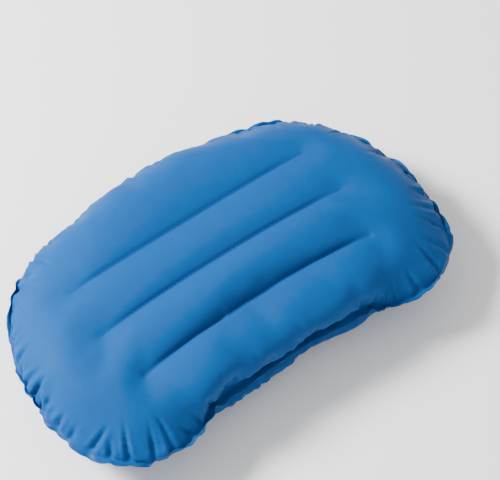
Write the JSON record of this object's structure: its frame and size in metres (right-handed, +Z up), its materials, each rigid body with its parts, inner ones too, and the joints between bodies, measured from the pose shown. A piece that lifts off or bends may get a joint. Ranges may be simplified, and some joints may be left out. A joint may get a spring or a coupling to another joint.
{
  "type": "inflatable camp pillow",
  "caption": "Bean-shaped inflatable pillow with lengthwise baffle creases, a welded flange and a capped push valve.",
  "frame": {"origin": "middle of the base, on the surface the pillow lies on", "axes": "+X along the pillow's length, +Y towards the convex back edge, +Z up; the concave neck edge faces -Y"},
  "size_m": [0.46, 0.2767, 0.0994],
  "materials": {
    "face_fabric": "matte brushed knit, laminated",
    "base_fabric": "matte brushed knit, laminated",
    "baffle_film": "satin film",
    "valve_tpu": "satin moulded",
    "valve_plastic": "satin moulded",
    "button_plastic": "satin moulded",
    "silicone": "matte moulded",
    "spring_steel": "drawn wire"
  },
  "bodies": {
    "pillow": {"top_panel": "face_fabric", "bottom_panel": "base_fabric", "baffle_front": "baffle_film", "baffle_middle": "baffle_film", "baffle_back": "baffle_film", "valve_base": "valve_tpu", "valve_body": "valve_plastic", "cap_ring": "valve_tpu", "valve_spring": "spring_steel"},
    "button": {"valve_button": "button_plastic", "valve_seal": "silicone", "seal_retainer": "valve_plastic"},
    "cap": {"valve_cap": "valve_tpu"}
  },
  "joints": [
    {"name": "cap_hinge", "type": "hinge", "parent": "pillow", "child": "cap", "pos_m": [0.18616, 0.07817, 0.03243], "axis": [0.6428, -0.766, 0], "range_deg": [0, 160]},
    {"name": "button_slide", "type": "slide", "parent": "pillow", "child": "button", "axis": [-0.5693, -0.4777, 0.6691], "range_m": [0, 0.003], "stiffness_N_per_m": 400, "springref_m": -0.001, "deforming": ["valve_spring"]}
  ]
}
